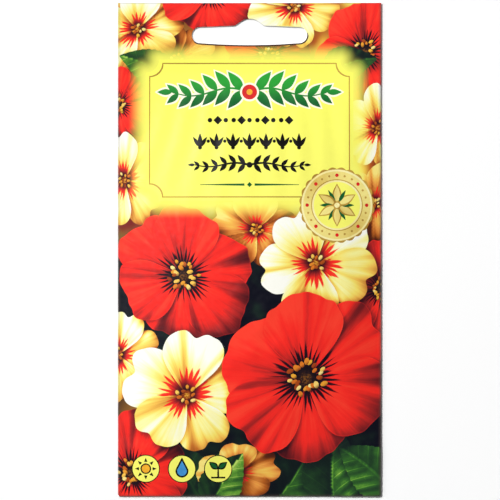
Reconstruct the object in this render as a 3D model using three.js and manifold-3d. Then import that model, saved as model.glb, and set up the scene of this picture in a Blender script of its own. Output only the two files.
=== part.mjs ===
// Flat seed packet: one sheet of coated paper folded round eight large seeds and glued shut, with a hang
// slot punched through its header. The blank is a front panel with a narrow lap on its right edge, a flap
// on its bottom edge and the back panel on its left edge. The back folds under first, the lap folds over
// the back's free edge, and the flap folds over both. Millimetres, +Z up, +Y towards the header. The packet
// lies on its back, and the origin is under its middle.
import * as THREE from "three";
import { mergeVertices } from "three/addons/utils/BufferGeometryUtils.js";
import Module from "manifold-3d";

// Driving dimensions
const PACKET_WIDTH = 80;
const PACKET_HEIGHT = 150;
const PAPER = 0.15; // thickness of the sheet
const PITCH = 0.27; // from the middle of one glued layer to the middle of the next
const GLUE = 0.06; // thickness of a dry glue film
const LAP_WIDTH = 9;
const FLAP_HEIGHT = 12;
const FLAP_TAPER = 3; // how much narrower the flap is at its free edge, on each side
const HEADER_HEIGHT = 21; // glued flat from here to the top edge
const TUCK = 0.4; // how far the back's free edge stays inside the fold that wraps it
const CORNER_CUT = 0.12; // how far the notches at the bottom corners reach past the fold lines
const STEP_DOWN = 7; // within this of an edge that lies under it, a layer has come down again
const STEP_CLEAR = 0.5; // and it stays up this far past that edge
const GLUE_INSET = 1; // from a glue film to the edge of the paper that it holds
const GLUE_START = 4; // from the left fold to the films that run across the packet

// The pillow that the seeds make
const OPENING = 6.4; // most room between front and back
const SEEDS_AT_Y = -24; // where the seeds lie, and where the pillow is fullest
const FULL_ACROSS = 2.2; // the higher this power, the further the pillow stays full towards its sides
const FULL_ALONG = 2.4; // and towards its ends
const FULL_FADE = 1.15; // above 1, the pillow leaves the flat paper gently
const SIDE_LIFT = 0.3; // how high the side folds stand beside the fullest place
const REST_TRIM = 0.04; // takes the back's middle down to a flat spot
const TOP_CURL = 0.25; // how high the header's corners curl
const TOP_CURL_FROM = 20; // the y where that begins
const BOTTOM_CURL = 0.05;
const BOTTOM_CURL_FROM = -30;
const CURL_SKEW = 0.004; // per mm, how much more the right corners curl than the left ones

// The hang slot, measured down from the top edge
const SLOT_WIDTH = 35.1;
const SLOT_END_TOP = 7.3;
const SLOT_END_BOTTOM = 12.2;
const SLOT_MIDDLE_BOTTOM = 12.8;
const SLOT_SHOULDER = 6.9;
const HUMP_TOP = 4.8;
const HUMP_TOP_HALF = 0.4; // half of the flat crown
const HUMP_TOP_REACH = 1.9; // how far the crown's round shoulder pulls the curve outwards
const HUMP_FOOT_HALF = 4.75;
const HUMP_FOOT_REACH = 0.7; // how far the hollow at the foot pulls it inwards
const CUT_DEPTH = 20; // of the punch, well past every layer

// The seeds
const SEED_COUNT = 8;
const SEED_HALF = [3.25, 2.85, 2.6]; // half of length, width and height
const SEED_UNEVEN = 0.05; // how much larger or smaller than that a seed can be, as a share
const SEED_TURN = 2.1; // radians that each seed is turned from the one before it
const SEED_CLEARANCE = 0.12; // over the paper
const SPIRAL_ANGLE = 137.5; // degrees from one seed to the next round the spiral that they lie on
const SPIRAL_SPREAD = 4.4;
const SPIRAL_START = 0.4; // keeps the first seed off the spiral's middle

// A seed's body and the relief that stands out of it and sinks into it, as shares of the seed's radius
const SEED_BODY = 0.93;
const RIB_COUNT = 7;
const RIB_HEIGHT = 0.055;
const RIB_SWAY = 0.8; // how far a rib wanders to each side, with ribs 2π apart
const WRINKLE_HEIGHT = 0.03;
const KEEL_HEIGHT = 0.07;

// Facets
const ACROSS_STEP = 5;
const ALONG_STEP = 5;
const FOLD_STEPS = 4;
const SLOT_STEPS = 10;
const SEED_SIDES = 18;
const SEED_RINGS = 12;
const WELD = 1e-4; // corners closer than this are one corner
const ON_LINE = 0.01; // within this of a grid line, a film's edge lies on it

// Where the folds' round stretches begin. Each round stretch ends at the packet's outline.
const leftX = -PACKET_WIDTH / 2 + PITCH / 2 + PAPER / 2;
const rightX = PACKET_WIDTH / 2 - PITCH - PAPER / 2;
const bottomY = -PACKET_HEIGHT / 2 + PITCH + PAPER / 2;
const topY = PACKET_HEIGHT / 2;
const headerY = topY - HEADER_HEIGHT;
const flapEndY = -PACKET_HEIGHT / 2 + FLAP_HEIGHT;
const lapEndX = rightX - LAP_WIDTH;
const backEdgeX = rightX - TUCK;

function smooth(from, to, value) {
  const t = THREE.MathUtils.clamp((value - from) / (to - from), 0, 1);
  return t * t * (3 - 2 * t);
}

// From a to b in equal steps no longer than step, both ends included.
function steps(a, b, step) {
  const count = Math.max(1, Math.ceil(Math.abs(b - a) / step));
  return Array.from({ length: count + 1 }, (_, i) => a + ((b - a) * i) / count);
}

// The pillow's fullness, 1 over the seeds and 0 along the side folds.
function fullAcross(x) {
  const share = Math.min(1, Math.abs(x / (x < 0 ? leftX : rightX)));
  return (1 - share ** FULL_ACROSS) ** FULL_FADE;
}

// Its fullness lengthwise, 0 at the bottom fold and from the header up.
function fullAlong(y) {
  const reach = y < SEEDS_AT_Y ? bottomY - SEEDS_AT_Y : headerY - SEEDS_AT_Y;
  const share = Math.min(1, Math.max(0, (y - SEEDS_AT_Y) / reach));
  return (1 - share ** FULL_ALONG) ** FULL_FADE;
}

// The underside of the lowest layer: flat on the surface in the middle, raised at the sides and corners.
function underside(x, y) {
  const sides = SIDE_LIFT * fullAlong(y) * (1 - fullAcross(x));
  const outward = (x / (PACKET_WIDTH / 2)) ** 2 * (1 + CURL_SKEW * x);
  const topCurl = TOP_CURL * smooth(TOP_CURL_FROM, topY, y);
  const bottomCurl = BOTTOM_CURL * smooth(BOTTOM_CURL_FROM, bottomY, y);
  return Math.max(0, sides + (topCurl + bottomCurl) * outward - REST_TRIM);
}

// The middle of each layer. The flap lifts what lies on it, and so does the lap.
const overFlap = (y) => PITCH * smooth(flapEndY + STEP_DOWN, flapEndY + STEP_CLEAR, y);
const overLap = (x) => PITCH * smooth(lapEndX - STEP_DOWN, lapEndX - STEP_CLEAR, x);
const flapZ = (x, y) => underside(x, y) + PAPER / 2;
const lapZ = (x, y) => flapZ(x, y) + overFlap(y);
const backZ = (x, y) => lapZ(x, y) + overLap(x);
const frontZ = (x, y) => backZ(x, y) + PITCH + OPENING * fullAcross(x) * fullAlong(y);

// Grid lines that all layers share, so that glued layers have parallel facets.
const acrossLines = [
  leftX,
  leftX + CORNER_CUT,
  ...steps(leftX + GLUE_START, lapEndX, ACROSS_STEP),
  lapEndX + GLUE_INSET,
  (lapEndX + backEdgeX) / 2,
  backEdgeX - TUCK,
  backEdgeX,
  rightX - CORNER_CUT,
  rightX,
];
const alongLines = [
  bottomY,
  bottomY + CORNER_CUT,
  bottomY + GLUE_INSET,
  flapEndY - GLUE_INSET,
  flapEndY,
  ...steps(flapEndY + ALONG_STEP - GLUE_INSET, headerY, ALONG_STEP),
  ...steps(headerY + GLUE_INSET, topY - GLUE_INSET, ALONG_STEP),
  topY,
];

// A line of the blank is flat at a place, or at an angle round a fold, from 0 in front to half a turn
// underneath.
const flat = (layer) => (place) => ({ layer, place });
const fold = (layer, place) =>
  steps(0, Math.PI, Math.PI / FOLD_STEPS).slice(1, -1).map((angle) => ({ layer, place, angle }));

const columns = [
  ...acrossLines.filter((x) => x <= backEdgeX).reverse().map(flat("back")),
  ...fold("leftFold", leftX).reverse(),
  ...acrossLines.map(flat("front")),
  ...fold("rightFold", rightX),
  ...acrossLines.filter((x) => x >= lapEndX).reverse().map(flat("lap")),
];
const rows = [
  ...alongLines.filter((y) => y > bottomY && y <= flapEndY).reverse().map(flat("flap")),
  flat("flap")(bottomY),
  ...fold("bottomFold", bottomY).reverse(),
  ...alongLines.map(flat("panel")),
];

// A point of the sheet. Side is 1 on the printed side and -1 inside.
function sheetPoint(column, row, side) {
  const x = column.place;
  const y = row.place;
  const out = (side * PAPER) / 2;
  if (row.layer === "flap") {
    const narrowed = x * (1 - (FLAP_TAPER / rightX) * ((y - bottomY) / (flapEndY - bottomY)));
    return [narrowed, y, flapZ(narrowed, y) - out];
  }
  if (row.layer === "bottomFold") {
    const middle = (frontZ(x, y) + flapZ(x, y)) / 2;
    const radius = (frontZ(x, y) - flapZ(x, y)) / 2 + out;
    // The crease stands out as far where it wraps three layers as where it wraps four, so the packet's
    // bottom edge is straight.
    return [x, y - (PITCH + out) * Math.sin(row.angle), middle + radius * Math.cos(row.angle)];
  }
  if (column.angle !== undefined) {
    const under = column.layer === "leftFold" ? backZ : lapZ;
    const way = column.layer === "leftFold" ? -1 : 1;
    const middle = (frontZ(x, y) + under(x, y)) / 2;
    const radius = (frontZ(x, y) - under(x, y)) / 2 + out;
    return [x + way * radius * Math.sin(column.angle), y, middle + radius * Math.cos(column.angle)];
  }
  if (column.layer === "front") return [x, y, frontZ(x, y) + out];
  return [x, y, (column.layer === "back" ? backZ : lapZ)(x, y) - out];
}

// Paper is missing beside the flap and its fold, and where the other panels and folds are cut short of it.
function hasPaper(i, j) {
  const onFront = columns[i].layer === "front" && columns[i + 1].layer === "front";
  if (rows[j].layer === "panel") return onFront || rows[j].place >= bottomY + CORNER_CUT;
  const insideCorners = columns[i].place >= leftX + CORNER_CUT && columns[i + 1].place <= rightX - CORNER_CUT;
  return onFront && insideCorners;
}

// A closed mesh from the filled cells of a grid. Both sides get faces, and open edges get a rim.
function thickMesh(countI, countJ, cellAt, pointAt) {
  const places = [];
  const faces = [];
  const indexOf = new Map();
  const corner = (i, j, side) => {
    const key = `${i},${j},${side}`;
    if (!indexOf.has(key)) {
      indexOf.set(key, places.length / 3);
      places.push(...pointAt(i, j, side));
    }
    return indexOf.get(key);
  };
  const filled = (i, j) => i >= 0 && j >= 0 && i < countI && j < countJ && cellAt(i, j);
  const quad = (a, b, c, d, slant) => faces.push(...(slant ? [a, b, d, b, c, d] : [a, b, c, a, c, d]));
  for (let i = 0; i < countI; i++) {
    for (let j = 0; j < countJ; j++) {
      if (!filled(i, j)) continue;
      const ring = [[i, j], [i + 1, j], [i + 1, j + 1], [i, j + 1]];
      const [a, b, c, d] = ring.map(([p, q]) => corner(p, q, 1));
      const [e, f, g, h] = ring.map(([p, q]) => corner(p, q, -1));
      const slant = cellAt(i, j) === "slant";
      quad(a, b, c, d, slant);
      quad(e, h, g, f, slant);
      if (!filled(i, j - 1)) quad(e, f, b, a);
      if (!filled(i + 1, j)) quad(f, g, c, b);
      if (!filled(i, j + 1)) quad(g, h, d, c);
      if (!filled(i - 1, j)) quad(h, e, a, d);
    }
  }
  return new THREE.BufferGeometry()
    .setAttribute("position", new THREE.Float32BufferAttribute(places, 3))
    .setIndex(faces);
}

function sheetGeometry() {
  // Facets under the packet slant the other way round the blank, which makes them parallel to the front's.
  const cellAt = (i, j) => {
    if (!hasPaper(i, j)) return false;
    return columns[i].layer === "front" && rows[j].layer === "panel" ? "straight" : "slant";
  };
  const pointAt = (i, j, side) => sheetPoint(columns[i], rows[j], side);
  return thickMesh(columns.length - 1, rows.length - 1, cellAt, pointAt);
}

// A glue film between two layers, on the shared grid lines, at the height of its lower layer.
function glueGeometry(xFrom, xTo, yFrom, yTo, lowerZ) {
  const xs = acrossLines.filter((x) => x >= xFrom - ON_LINE && x <= xTo + ON_LINE);
  const ys = alongLines.filter((y) => y >= yFrom - ON_LINE && y <= yTo + ON_LINE);
  const pointAt = (i, j, side) => [xs[i], ys[j], lowerZ(xs[i], ys[j]) + PITCH / 2 + (side * GLUE) / 2];
  return thickMesh(xs.length - 1, ys.length - 1, () => "straight", pointAt);
}

// A long slot with round ends, a slightly bowed bottom and a hump that centres the packet on a hook.
function slotShape(margin) {
  const endRadius = (SLOT_END_BOTTOM - SLOT_END_TOP) / 2;
  const endX = SLOT_WIDTH / 2 - endRadius;
  const endY = topY - SLOT_END_TOP - endRadius;
  const foot = [HUMP_FOOT_HALF + margin, topY - SLOT_SHOULDER + margin];
  const crown = [HUMP_TOP_HALF + margin / 2, topY - HUMP_TOP + margin];
  const footX = foot[0] - HUMP_FOOT_REACH;
  const crownX = crown[0] + HUMP_TOP_REACH;
  const bowY = topY - 2 * SLOT_MIDDLE_BOTTOM + SLOT_END_BOTTOM - margin;
  const shape = new THREE.Shape();
  shape.absarc(endX, endY, endRadius + margin, -Math.PI / 2, Math.PI / 2, false);
  shape.lineTo(...foot);
  shape.bezierCurveTo(footX, foot[1], crownX, crown[1], ...crown);
  shape.lineTo(-crown[0], crown[1]);
  shape.bezierCurveTo(-crownX, crown[1], -footX, foot[1], -foot[0], foot[1]);
  shape.absarc(-endX, endY, endRadius + margin, Math.PI / 2, (3 * Math.PI) / 2, false);
  shape.quadraticCurveTo(0, bowY, endX, endY - endRadius - margin);
  return shape;
}

function slotCutter(margin) {
  const cutter = new THREE.ExtrudeGeometry(slotShape(margin), {
    depth: CUT_DEPTH,
    bevelEnabled: false,
    curveSegments: SLOT_STEPS,
  });
  return cutter.translate(0, 0, -CUT_DEPTH / 2);
}

// A plump, corky seed: an uneven ball with ribs from end to end, cross wrinkles, and a keel down one side.
function seedGeometry(number) {
  const geometry = new THREE.SphereGeometry(1, SEED_SIDES, SEED_RINGS);
  geometry.deleteAttribute("normal");
  geometry.deleteAttribute("uv");
  const merged = mergeVertices(geometry, WELD);
  const place = merged.getAttribute("position");
  const size = 1 + SEED_UNEVEN * Math.sin(2.4 * number);
  const phase = 1.7 * number; // makes each seed's relief its own
  const point = new THREE.Vector3();
  for (let i = 0; i < place.count; i++) {
    point.fromBufferAttribute(place, i);
    const round = Math.atan2(point.z, point.x);
    const height = Math.acos(THREE.MathUtils.clamp(point.y, -1, 1));
    const waist = Math.sin(height);
    const ribs = RIB_HEIGHT * Math.cos(RIB_COUNT * round + RIB_SWAY * Math.sin(3 * height + phase));
    const wrinkles = WRINKLE_HEIGHT * Math.cos(5 * height + 3 * round + phase);
    const keel = KEEL_HEIGHT * Math.cos(round - phase) ** 3;
    point.multiplyScalar(size * (SEED_BODY + waist * (ribs + wrinkles + keel)));
    place.setXYZ(i, point.y * SEED_HALF[0], point.x * SEED_HALF[1], point.z * SEED_HALF[2]);
  }
  merged.setIndex(Array.from(merged.index.array).reverse()); // swapping two axes turned the faces inwards
  return merged;
}

// The seeds lie in one layer on the back panel, on a sunflower spiral.
function seedPlace(number) {
  const turn = THREE.MathUtils.degToRad(SPIRAL_ANGLE) * number;
  const away = SPIRAL_SPREAD * Math.sqrt(number + SPIRAL_START);
  return [away * Math.cos(turn), SEEDS_AT_Y + away * Math.sin(turn)];
}

function seedMesh(number, material) {
  const mesh = new THREE.Mesh(seedGeometry(number), material);
  const [x, y] = seedPlace(number);
  mesh.rotation.z = SEED_TURN * number;
  mesh.position.set(x, y, 0);
  mesh.updateMatrixWorld(true);
  // It is lowered until it is just clear of the paper under each of its points.
  const place = mesh.geometry.getAttribute("position");
  const point = new THREE.Vector3();
  let height = -Infinity;
  for (let i = 0; i < place.count; i++) {
    point.fromBufferAttribute(place, i).applyMatrix4(mesh.matrixWorld);
    height = Math.max(height, backZ(point.x, point.y) + PAPER / 2 + SEED_CLEARANCE - point.z);
  }
  mesh.position.z = height;
  mesh.name = `seed_${number + 1}`;
  return mesh;
}

const wasm = await Module();
wasm.setup();

function toSolid(geometry) {
  const bare = geometry.clone();
  bare.deleteAttribute("normal");
  bare.deleteAttribute("uv");
  const merged = mergeVertices(bare, WELD);
  return new wasm.Manifold(
    new wasm.Mesh({
      numProp: 3,
      vertProperties: new Float32Array(merged.getAttribute("position").array),
      triVerts: new Uint32Array(merged.index.array),
    }),
  );
}

function toGeometry(solid) {
  const mesh = solid.getMesh();
  return new THREE.BufferGeometry()
    .setAttribute("position", new THREE.BufferAttribute(new Float32Array(mesh.vertProperties), 3))
    .setIndex(new THREE.BufferAttribute(new Uint32Array(mesh.triVerts), 1));
}

const punched = (geometry, margin) => toGeometry(toSolid(geometry).subtract(toSolid(slotCutter(margin))));

const printedPaper = new THREE.MeshStandardMaterial({ color: 0xe8502f, roughness: 0.4, metalness: 0 });
const dryGlue = new THREE.MeshStandardMaterial({ color: 0xf3efdc, roughness: 0.5, metalness: 0 });
const seedHusk = new THREE.MeshStandardMaterial({ color: 0xb89a6a, roughness: 0.9, metalness: 0 });

function named(name, geometry, material) {
  const mesh = new THREE.Mesh(geometry, material);
  mesh.name = name;
  return mesh;
}

const glueTopY = topY - GLUE_INSET;
const glueBottomY = bottomY + GLUE_INSET;
const sideSeam = glueGeometry(lapEndX + GLUE_INSET, backEdgeX - TUCK, glueBottomY, glueTopY, lapZ);
const flapGlueX = (lapEndX + backEdgeX) / 2;
const glueX = leftX + GLUE_START;
const bottomSeam = glueGeometry(glueX, flapGlueX, glueBottomY, flapEndY - GLUE_INSET, flapZ);
const headerSeam = glueGeometry(glueX, backEdgeX - TUCK, headerY + GLUE_INSET, glueTopY, backZ);

const packet = new THREE.Group();
packet.add(named("packet_sheet", punched(sheetGeometry(), 0), printedPaper));
packet.add(named("glue_side_seam", sideSeam, dryGlue));
packet.add(named("glue_bottom_flap", bottomSeam, dryGlue));
packet.add(named("glue_header", punched(headerSeam, GLUE_INSET / 2), dryGlue));
for (let number = 0; number < SEED_COUNT; number++) packet.add(seedMesh(number, seedHusk));

export default packet;
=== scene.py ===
import itertools
import math
import random
from collections import Counter, defaultdict
from types import SimpleNamespace

import bmesh
import bpy
import numpy as np
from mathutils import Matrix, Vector
from mathutils.geometry import delaunay_2d_cdt


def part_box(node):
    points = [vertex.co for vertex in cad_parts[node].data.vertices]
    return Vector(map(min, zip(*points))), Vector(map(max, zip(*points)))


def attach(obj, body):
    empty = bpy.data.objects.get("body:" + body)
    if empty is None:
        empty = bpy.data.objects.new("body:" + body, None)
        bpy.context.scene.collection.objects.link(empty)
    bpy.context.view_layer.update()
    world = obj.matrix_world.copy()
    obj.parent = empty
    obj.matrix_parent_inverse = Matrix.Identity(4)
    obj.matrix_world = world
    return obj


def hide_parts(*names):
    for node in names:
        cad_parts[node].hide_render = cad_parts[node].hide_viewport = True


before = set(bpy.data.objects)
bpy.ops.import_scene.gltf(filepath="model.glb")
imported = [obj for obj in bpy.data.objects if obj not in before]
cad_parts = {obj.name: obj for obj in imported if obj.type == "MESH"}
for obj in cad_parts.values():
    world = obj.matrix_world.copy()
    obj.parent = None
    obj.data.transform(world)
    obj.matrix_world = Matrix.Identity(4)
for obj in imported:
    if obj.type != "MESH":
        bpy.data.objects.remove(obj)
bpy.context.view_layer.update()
scene = bpy.context.scene
mm = 0.001
print("frame: loaded,", len(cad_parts), "nodes")

# The folded sheet, in millimetres. These are the frame's own sizes, so that the print lies on its paper.
packet = {
    "width": 80,
    "height": 150,
    "paper": 0.15,
    "pitch": 0.27,  # middle of one glued layer to the middle of the next
    "lapWidth": 9,
    "flapHeight": 12,
    "flapTaper": 3,
    "headerHeight": 21,
    "tuck": 0.4,  # gap between the back panel's free edge and the right fold
    "cornerCut": 0.12,
    "stepDown": 7,  # how far past a layer's edge the next one comes to rest
    "stepClear": 0.5,
    "opening": 6.4,
    "seedsAtY": -24,
    "fullAcross": 2.2,  # powers that shape the full part across and along
    "fullAlong": 2.4,
    "fullFade": 1.15,
    "sideLift": 0.3,
    "restTrim": 0.04,
    "topCurl": 0.25,
    "topCurlFrom": 20,
    "bottomCurl": 0.05,
    "bottomCurlFrom": -30,
    "curlSkew": 0.004,
    "foldSteps": 6,
    "footEase": 1.12,  # paper in the bottom fold, against a half circle
}
slot = {
    "width": 35.1,
    "endTop": 7.3,  # this and the next four lie under the packet's top edge
    "endBottom": 12.2,
    "middleBottom": 12.8,
    "shoulder": 6.9,
    "humpTop": 4.8,
    "humpTopHalf": 0.4,
    "humpTopReach": 1.9,
    "humpFootHalf": 4.75,
    "humpFootReach": 0.7,
}

paper = packet["paper"]
pitch = packet["pitch"]
leftX = -packet["width"] / 2 + pitch / 2 + paper / 2
rightX = packet["width"] / 2 - pitch - paper / 2
bottomY = -packet["height"] / 2 + pitch + paper / 2
topY = packet["height"] / 2
headerY = topY - packet["headerHeight"]
flapEndY = -packet["height"] / 2 + packet["flapHeight"]
lapEndX = rightX - packet["lapWidth"]
backEdgeX = rightX - packet["tuck"]
panelY = bottomY + packet["cornerCut"]
cornerX = leftX + packet["cornerCut"], rightX - packet["cornerCut"]

# The flat blank: the front keeps its place, the back is to its left, the lap to its right and the flap below.
leftFold = math.pi * pitch / 2
rightFold = math.pi * pitch
bottomFold = math.pi * pitch * packet["footEase"]
blankLeft = leftX - leftFold - (backEdgeX - leftX)
blankRight = rightX + rightFold + packet["lapWidth"]
flapTop = bottomY - bottomFold
blankBottom = flapTop - (flapEndY - bottomY)
backMiddle = 2 * leftX - leftFold  # the place on the blank of the back panel's x = 0


# Outlines. Headings and turns are in degrees.

def ray(degrees, length=1.0):
    angle = np.radians(degrees)
    return np.stack([np.cos(angle), np.sin(angle)], -1) * length


def turning(degrees):  # points @ turning(a) are turned by a
    return np.array([ray(degrees), ray(degrees + 90)])


def arc(x, y, radiusX, radiusY, start, end, count):
    return (x, y) + ray(np.linspace(start, end, count)) * (radiusX, radiusY)


def oval(x, y, radiusX, radiusY, count):
    return arc(x, y, radiusX, radiusY, 0, 360, count + 1)[:-1]


def disc(x, y, radius, count):  # with a count of 4 it is a diamond
    return oval(x, y, radius, radius, count)


def box(left, bottom, right, top, grow=0):
    left, bottom, right, top = left - grow, bottom - grow, right + grow, top + grow
    return np.array([(left, bottom), (right, bottom), (right, top), (left, top)])


def bezier(a, b, c, d, count):
    t = np.linspace(0, 1, count)[:, None]
    a, b, c, d = map(np.array, (a, b, c, d))
    return a * (1 - t) ** 3 + 3 * b * t * (1 - t) ** 2 + 3 * c * t * t * (1 - t) + d * t**3


def ribbon(path, side):  # an outline that runs up one side of a path and back down the other
    return np.vstack([path + side, (path - side)[::-1]])


def blade(x, middle, half):  # the same, for a leaf that lies along x and is pointed at both ends
    return np.delete(ribbon(np.stack([x, middle], 1), np.stack([0 * x, half], 1)), [len(x), -1], 0)


def almond(x, y, length, width, heading, count=11):
    t = np.linspace(0, 1, count)
    return blade(t * length, 0 * t, width / 2 * np.sin(math.pi * t**0.8)) @ turning(heading) + (x, y)


def stroke(path, width):
    ahead = np.gradient(path, axis=0)
    ahead /= np.linalg.norm(ahead, axis=1)[:, None]
    return ribbon(path, ahead[:, ::-1] * (-0.5, 0.5) * np.broadcast_to(width, len(path))[:, None])


def splitLong(loop, step):
    loop = np.asarray(loop, float)
    ahead = np.roll(loop, -1, axis=0)
    counts = np.maximum(1, np.ceil(np.linalg.norm(ahead - loop, axis=1) / step)).astype(int)
    return np.vstack([a + (b - a) * np.arange(n)[:, None] / n for a, b, n in zip(loop, ahead, counts)])


def blankOutline():
    taper = packet["flapTaper"]
    left, right = cornerX
    return splitLong([
        (blankLeft, topY), (blankLeft, panelY), (leftX, panelY), (leftX, bottomY), (left, bottomY),
        (left, flapTop), (left + taper, blankBottom), (right - taper, blankBottom), (right, flapTop),
        (right, bottomY), (rightX, bottomY), (rightX, panelY), (blankRight, panelY), (blankRight, topY),
    ], sheetGrid["edge"])


def slotOutline(middle):
    radius = (slot["endBottom"] - slot["endTop"]) / 2
    endX, low = slot["width"] / 2 - radius, topY - slot["endBottom"]
    foot = np.array([slot["humpFootHalf"], topY - slot["shoulder"]])
    crown = np.array([slot["humpTopHalf"], topY - slot["humpTop"]])
    hump = bezier(foot, foot - (slot["humpFootReach"], 0), crown + (slot["humpTopReach"], 0), crown, 19)
    half = np.vstack([arc(endX, low + radius, radius, radius, -90, 90, 17), hump])
    sag = low - 4 / 3 * (slot["middleBottom"] - slot["endBottom"])
    bottom = bezier((-endX, low), (-endX / 3, sag), (endX / 3, sag), (endX, low), 27)[1:-1]
    return np.vstack([half, half[::-1] * (-1, 1), bottom]) + (middle, 0)


# The shape of the filled packet

creases = {
    "depth": 0.16,  # mm, puckers where the full part meets the flat part
    "headerAcross": 9.0,  # mm from one pucker to the next
    "headerRise": (2, 34),  # y where they begin and where they are deepest
    "headerFade": 12,  # mm over which they end
    "headerFan": (0.010, 10),  # how much they spread for each mm above this y
    "headerSway": (0.9, 9),
    "footAcross": 11.7,
    "footRise": (-42, -60),
    "footFade": 8,
    "footStart": 1.1,
    "lump": 0.22,  # mm, where the seeds press on the front
    "lumpArea": 7.0,
    "lumpMean": 0.4,
}
seeds = {
    "count": 8,
    "spiral": 137.5,  # degrees from one seed to the next as they lie
    "spread": 4.4,  # mm, how far apart they lie
    "spreadStart": 0.4,
    "half": (3.25, 2.85, 2.6),  # mm, half of length, width and height
    "turn": 2.1,  # radians from one seed to the next
    "uneven": 0.05,
    "body": 0.93,
    "ribs": 7,
    "ribHeight": 0.055,  # this and the next four are shares of the radius
    "ribSway": 0.8,
    "wrinkle": 0.03,
    "keel": 0.07,
    "cork": 0.012,
}
seedNumbers = np.arange(seeds["count"])
seedAway = seeds["spread"] * np.sqrt(seedNumbers + seeds["spreadStart"])
seedPlaces = (0, packet["seedsAtY"]) + ray(seeds["spiral"] * seedNumbers, seedAway[:, None])


def smooth(start, end, value):
    t = np.clip((value - start) / (end - start), 0, 1)
    return t * t * (3 - 2 * t)


def fullness(x, y):
    middle = packet["seedsAtY"]
    across = np.minimum(1, np.abs(x / np.where(x < 0, leftX, rightX)))
    along = np.clip((y - middle) / np.where(y < middle, bottomY - middle, headerY - middle), 0, 1)
    fade = packet["fullFade"]
    return (1 - across ** packet["fullAcross"]) ** fade, (1 - along ** packet["fullAlong"]) ** fade


def flapZ(x, y):
    across, along = fullness(x, y)
    outward = (x / (packet["width"] / 2)) ** 2 * (1 + packet["curlSkew"] * x)
    curl = packet["topCurl"] * smooth(packet["topCurlFrom"], topY, y)
    curl = curl + packet["bottomCurl"] * smooth(packet["bottomCurlFrom"], bottomY, y)
    sides = packet["sideLift"] * along * (1 - across)
    return np.maximum(0, sides + curl * outward - packet["restTrim"]) + paper / 2


def lapZ(x, y):
    return flapZ(x, y) + pitch * smooth(flapEndY + packet["stepDown"], flapEndY + packet["stepClear"], y)


def backZ(x, y):
    return lapZ(x, y) + pitch * smooth(lapEndX - packet["stepDown"], lapEndX - packet["stepClear"], x)


def puckers(x, y, full):
    perMm, fanY = creases["headerFan"]
    sway, swayOver = creases["headerSway"]
    fan = x * (1 + perMm * (y - fanY))
    header = math.tau * fan / creases["headerAcross"] + sway * np.sin(y / swayOver)
    foot = math.tau * x / creases["footAcross"] + creases["footStart"]
    nearHeader = smooth(*creases["headerRise"], y) * smooth(headerY, headerY - creases["headerFade"], y)
    nearFoot = smooth(*creases["footRise"], y) * smooth(bottomY, bottomY + creases["footFade"], y)
    waves = np.cos(header) * nearHeader + np.cos(foot) * nearFoot
    lumps = sum(np.exp(-((x - sx) ** 2 + (y - sy) ** 2) / creases["lumpArea"]) for sx, sy in seedPlaces)
    return creases["depth"] * waves * np.sqrt(full) + creases["lump"] * (lumps - creases["lumpMean"]) * full


def frontZ(x, y):
    across, along = fullness(x, y)
    full = across * along
    return backZ(x, y) + pitch + packet["opening"] * full + puckers(x, y, full) * smooth(0, 0.2, full)


# Where points of the blank lie on the packet. Side is 1 on the printed side and -1 inside.
def folded(points, side):
    u, v = points.T
    out = side * paper / 2
    x, y = u.copy(), np.maximum(v, bottomY)
    z = frontZ(np.clip(x, leftX, rightX), y) + out
    for edge, width, way, under in ((leftX, leftFold, -1, backZ), (rightX, rightFold, 1, lapZ)):
        past = way * (u - edge)
        on = past > width
        x[on] = 2 * edge + way * width - u[on]
        z[on] = under(x[on], y[on]) - out
        on = (past > 0) & (past <= width)
        angle = past[on] / width * math.pi
        high, low = frontZ(edge, y[on]), under(edge, y[on])
        radius = (high - low) / 2 + out
        x[on] = edge + way * radius * np.sin(angle)
        z[on] = (high + low) / 2 + radius * np.cos(angle)
    on = v < flapTop
    y[on] = bottomY + flapTop - v[on]
    z[on] = flapZ(x[on], y[on]) - out
    on = (v < bottomY) & ~on
    angle = (bottomY - v[on]) / bottomFold * math.pi
    high, low = frontZ(x[on], bottomY), flapZ(x[on], bottomY)
    y[on] = bottomY - (pitch + out) * np.sin(angle)
    z[on] = (high + low) / 2 + ((high - low) / 2 + out) * np.cos(angle)
    return np.stack([x, y, z], 1)


# The print. Each entry is one flat shape of the picture or the label, and later ones lie over earlier ones.

prints = []
printStep = 1.4  # mm, the longest straight piece of an outline, so that it follows the paper's curves
atOnce = 2000000  # pairs of a point and a segment worked out together, which spares memory
families = itertools.count(1)  # shapes of one bloom share a number, 0 is the backdrop and -1 is flat ink


def shapeOf(*loops):
    segments = np.vstack([np.hstack([loop, np.roll(loop, -1, axis=0)]) for loop in loops])
    return {"segments": segments, "low": segments[:, :2].min(0), "high": segments[:, :2].max(0)}


def addPrint(ink, *loops, spot=None, shade=None, tint=0.0, family=-1):
    shape = shapeOf(*[splitLong(loop, printStep) for loop in loops])
    prints.append({**shape, "ink": ink, "spot": spot, "shade": shade, "tint": tint, "family": family})


def insideOf(shape, points):
    found = np.zeros(len(points), bool)
    near = np.where(((points >= shape["low"]) & (points <= shape["high"])).all(1))[0]
    ax, ay, bx, by = shape["segments"].T
    for part in np.array_split(near, max(1, len(near) * len(ax) // atOnce)):
        x, y = points[part].T[:, :, None]
        crossing = x < (bx - ax) * (y - ay) / np.where(by == ay, 1, by - ay) + ax
        found[part] = (((ay > y) != (by > y)) & crossing).sum(1) % 2 == 1
    return found


# Distance to a shape's outline, negative inside it.
def distanceFrom(shape, points):
    start, end = np.hsplit(shape["segments"], 2)
    span = end - start
    length = np.maximum((span**2).sum(1), 1e-12)
    found = np.empty(len(points))
    for part in np.array_split(np.arange(len(points)), max(1, len(points) * len(start) // atOnce)):
        offset = points[part, None, :] - start
        t = np.clip((offset * span).sum(2) / length, 0, 1)
        found[part] = np.sqrt(((offset - t[..., None] * span) ** 2).sum(2).min(1))
    return np.where(insideOf(shape, points), -found, found)


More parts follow.
